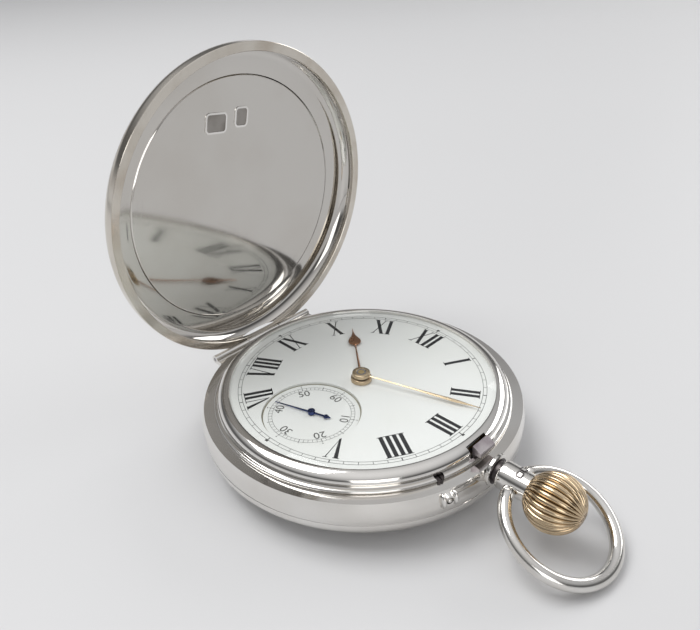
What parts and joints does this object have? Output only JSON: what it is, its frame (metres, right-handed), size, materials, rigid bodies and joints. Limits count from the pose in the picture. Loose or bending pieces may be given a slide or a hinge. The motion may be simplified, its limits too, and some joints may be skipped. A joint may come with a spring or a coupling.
{
  "type": "pocket watch",
  "caption": "Full hunter pocket watch with hinged lid, back cover and dust cover, ribbed crown, swinging bow, keyless winding, nail setting and a lever movement",
  "frame": {"origin": "centre of the flat of the back cover, on the surface the watch lies on", "axes": "+X to the pendant at III, +Y to XII, +Z out of the dial; the lid hinge lies at IX"},
  "size_m": [0.0729, 0.051, 0.058],
  "materials": {
    "silver": "polished silver with fine wear",
    "bow_silver": "polished silver, worn",
    "gilt_crown": "rose gilt, ribbed",
    "steel": "grey steel",
    "blued": "heat blued steel",
    "gilt": "gilt brass, matt",
    "brass": "brass",
    "gold_hand": "gilt hand",
    "enamel": "white enamel, stood in for by a gloss finish",
    "glass": "clear domed glass",
    "jewel": "red jewel"
  },
  "bodies": {
    "case": {"case_band": "silver", "pendant": "silver", "bezel": "silver", "crystal": "glass", "front_hinge_pin": "steel", "back_hinge_pin": "steel", "cuvette_hinge_pin": "steel", "lock_spring_screw": "blued", "lift_spring": "steel", "set_pin_screw": "blued", "dial": "enamel", "seconds_dial": "enamel", "main_plate": "gilt", "three_quarter_plate": "gilt", "plate_screws": "blued", "case_screws": "blued", "pallet_cock": "gilt", "balance_cock": "gilt", "cock_screws": "blued", "regulator": "steel", "hairspring": "blued", "jewels": "jewel", "crown_wheel_screw": "blued"},
    "front_lid": {"front_lid": "silver"},
    "back_cover": {"back_cover": "silver"},
    "cuvette": {"cuvette": "silver"},
    "bow": {"bow": "bow_silver"},
    "stem": {"winding_stem": "steel", "winding_pinion": "steel"},
    "crown": {"crown": "gilt_crown", "crown_stem": "steel"},
    "lock_spring": {"lock_spring": "steel"},
    "crown_wheel": {"crown_wheel": "steel"},
    "ratchet": {"ratchet_wheel": "steel", "ratchet_screw": "blued", "barrel_arbor": "steel"},
    "click": {"click": "steel"},
    "set_pin": {"set_pin": "silver"},
    "yoke": {"setting_yoke": "steel"},
    "clutch": {"sliding_clutch": "steel"},
    "minute_hand": {"minute_hand": "gold_hand", "cannon_pinion": "steel"},
    "hour_hand": {"hour_hand": "gold_hand", "hour_wheel": "brass"},
    "minute_wheel": {"minute_wheel": "brass"},
    "setting_wheel": {"setting_wheel": "brass"},
    "fourth_wheel": {"fourth_wheel": "brass", "seconds_hand": "blued"},
    "escape_wheel": {"escape_wheel": "brass"},
    "third_wheel": {"third_wheel": "brass"},
    "centre_wheel": {"centre_wheel": "brass"},
    "barrel": {"barrel_drum": "gilt", "barrel_cover": "gilt", "mainspring": "blued"},
    "pallet_lever": {"pallet_lever": "steel"},
    "balance": {"balance_wheel": "brass", "balance_staff": "steel"}
  },
  "joints": [
    {"name": "front_lid_open", "type": "hinge", "parent": "case", "child": "front_lid", "pos_m": [-0.0245, 0, 0.0086], "axis": [0, 1, 0], "range_deg": [0, 88]},
    {"name": "back_cover_open", "type": "hinge", "parent": "case", "child": "back_cover", "pos_m": [-0.0245, 0, 0.005], "axis": [0, 1, 0], "range_deg": [0, 100]},
    {"name": "cuvette_open", "type": "hinge", "parent": "case", "child": "cuvette", "pos_m": [-0.0229, 0, 0.00455], "axis": [0, 1, 0], "range_deg": [0, 60]},
    {"name": "bow_swing", "type": "hinge", "parent": "case", "child": "bow", "pos_m": [0.0286, 0, 0.0074], "axis": [0, 1, 0], "range_deg": [-150, 90]},
    {"name": "crown_turn", "type": "hinge", "parent": "case", "child": "stem", "pos_m": [0.02, 0, 0.0074], "axis": [1, 0, 0], "continuous": true},
    {"name": "crown_push", "type": "slide", "parent": "stem", "child": "crown", "axis": [-1, 0, 0], "range_m": [0, 0.0006], "stiffness_N_per_m": 600, "springref_m": -0.0006},
    {"name": "catch_release", "type": "hinge", "parent": "case", "child": "lock_spring", "pos_m": [0.01662, 0.01496, 0.0065], "axis": [0, 0, -1], "range_deg": [0, 2.3]},
    {"name": "crown_wheel_turn", "type": "hinge", "parent": "case", "child": "crown_wheel", "pos_m": [0.0135, 0, 0.0035], "axis": [0, 0, 1], "continuous": true},
    {"name": "ratchet_turn", "type": "hinge", "parent": "case", "child": "ratchet", "pos_m": [0.00473, 0.00818, 0.0035], "axis": [0, 0, -1], "continuous": true},
    {"name": "click_lift", "type": "hinge", "parent": "case", "child": "click", "pos_m": [0.00695, 0.01732, 0.0035], "axis": [0, 0, 1], "range_deg": [-8, 0], "stiffness_Nm_per_rad": 0.00001, "springref_deg": 2.86},
    {"name": "set_pin_push", "type": "slide", "parent": "case", "child": "set_pin", "axis": [-0.9403, 0.3404, 0], "range_m": [0, 0.0006], "stiffness_N_per_m": 300, "springref_m": -0.0006},
    {"name": "yoke_swing", "type": "hinge", "parent": "case", "child": "yoke", "pos_m": [0.01, -0.01, 0.009], "axis": [0, 0, 1], "range_deg": [0, 5.74]},
    {"name": "clutch_shift", "type": "slide", "parent": "stem", "child": "clutch", "axis": [-1, 0, 0], "range_m": [0, 0.000891]},
    {"name": "minute_hand_turn", "type": "hinge", "parent": "case", "child": "minute_hand", "pos_m": [0, 0, 0.009], "axis": [0, 0, -1], "continuous": true},
    {"name": "hour_hand_turn", "type": "hinge", "parent": "case", "child": "hour_hand", "pos_m": [0, 0, 0.0093], "axis": [0, 0, -1], "continuous": true},
    {"name": "minute_wheel_turn", "type": "hinge", "parent": "case", "child": "minute_wheel", "pos_m": [0.00338, -0.00123, 0.009], "axis": [0, 0, -1], "continuous": true},
    {"name": "setting_wheel_turn", "type": "hinge", "parent": "case", "child": "setting_wheel", "pos_m": [0.00937, -0.00092, 0.009], "axis": [0, 0, -1], "continuous": true},
    {"name": "seconds_hand_turn", "type": "hinge", "parent": "case", "child": "fourth_wheel", "pos_m": [0, -0.0109, 0.006], "axis": [0, 0, -1], "continuous": true},
    {"name": "escape_wheel_turn", "type": "hinge", "parent": "case", "child": "escape_wheel", "pos_m": [-0.00476, -0.00815, 0.0065], "axis": [0, 0, -1], "continuous": true},
    {"name": "third_wheel_turn", "type": "hinge", "parent": "case", "child": "third_wheel", "pos_m": [0.00346, -0.00606, 0.006], "axis": [0, 0, -1], "continuous": true},
    {"name": "centre_wheel_turn", "type": "hinge", "parent": "case", "child": "centre_wheel", "pos_m": [0, 0, 0.006], "axis": [0, 0, -1], "continuous": true},
    {"name": "barrel_turn", "type": "hinge", "parent": "case", "child": "barrel", "pos_m": [0.00473, 0.00818, 0.0065], "axis": [0, 0, -1], "continuous": true},
    {"name": "pallet_rock", "type": "hinge", "parent": "case", "child": "pallet_lever", "pos_m": [-0.00853, -0.00639, 0.0066], "axis": [0, 0, 1], "range_deg": [-5, 5]},
    {"name": "balance_swing", "type": "hinge", "parent": "case", "child": "balance", "pos_m": [-0.01252, -0.00453, 0.005], "axis": [0, 0, 1], "range_deg": [-270, 270], "stiffness_Nm_per_rad": 0.00000006, "deforming": ["hairspring"]}
  ],
  "couplings": [
    {"joint": "cuvette_open", "follows": "back_cover_open", "ratio": 0.6},
    {"joint": "catch_release", "follows": "crown_push", "rad_per_m": 66.837},
    {"joint": "crown_wheel_turn", "follows": "crown_turn", "ratio": 0.5},
    {"joint": "ratchet_turn", "follows": "crown_turn", "ratio": 0.33333},
    {"joint": "yoke_swing", "follows": "set_pin_push", "rad_per_m": 166.67},
    {"joint": "clutch_shift", "follows": "set_pin_push", "ratio": 1.4833},
    {"joint": "hour_hand_turn", "follows": "minute_hand_turn", "ratio": 0.083333},
    {"joint": "minute_wheel_turn", "follows": "minute_hand_turn", "ratio": -0.33333},
    {"joint": "setting_wheel_turn", "follows": "minute_hand_turn", "ratio": 0.27273},
    {"joint": "escape_wheel_turn", "follows": "seconds_hand_turn", "ratio": -10},
    {"joint": "third_wheel_turn", "follows": "seconds_hand_turn", "ratio": -0.13333},
    {"joint": "centre_wheel_turn", "follows": "seconds_hand_turn", "ratio": 0.016667},
    {"joint": "barrel_turn", "follows": "seconds_hand_turn", "ratio": -0.0020833}
  ]
}
